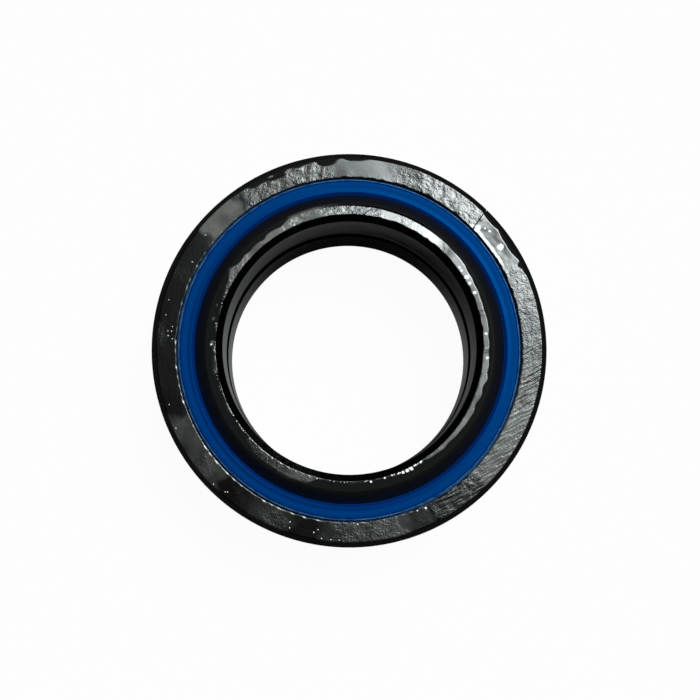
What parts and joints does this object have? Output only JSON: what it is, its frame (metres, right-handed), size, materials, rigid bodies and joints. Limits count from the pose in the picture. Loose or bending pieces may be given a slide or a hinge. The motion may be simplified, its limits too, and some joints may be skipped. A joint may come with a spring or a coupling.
{
  "type": "spherical plain bearing",
  "caption": "Radial spherical plain bearing: black steel inner ring swivelling in a split outer ring, with blue lip seals on both sides.",
  "frame": {"origin": "centre of the sphere, which is the middle of the width of both rings", "axes": "+Z along the bearing's axis, towards the side that faces up when it lies flat; the crack in the outer ring lies between +X and +Y"},
  "size_m": [0.055, 0.055, 0.025],
  "materials": {
    "inner_ring_steel": "hardened, ground and black phosphated, wet with preservative oil",
    "outer_ring_steel": "hardened, ground and black phosphated, wet with preservative oil",
    "seal_elastomer": "moulded blue polyurethane, satin"
  },
  "bodies": {
    "outer_ring": {"outer_ring": "outer_ring_steel"},
    "seal_pair": {"upper_seal": "seal_elastomer", "lower_seal": "seal_elastomer"},
    "inner_ring": {"inner_ring": "inner_ring_steel"}
  },
  "joints": [
    {"name": "inner_ring_turn", "type": "hinge", "parent": "outer_ring", "child": "seal_pair", "pos_m": [0, 0, 0], "axis": [0, 0, 1], "continuous": true},
    {"name": "inner_ring_tilt", "type": "hinge", "parent": "seal_pair", "child": "inner_ring", "pos_m": [0, 0, 0], "axis": [1, 0, 0], "range_deg": [-6, 6]}
  ]
}
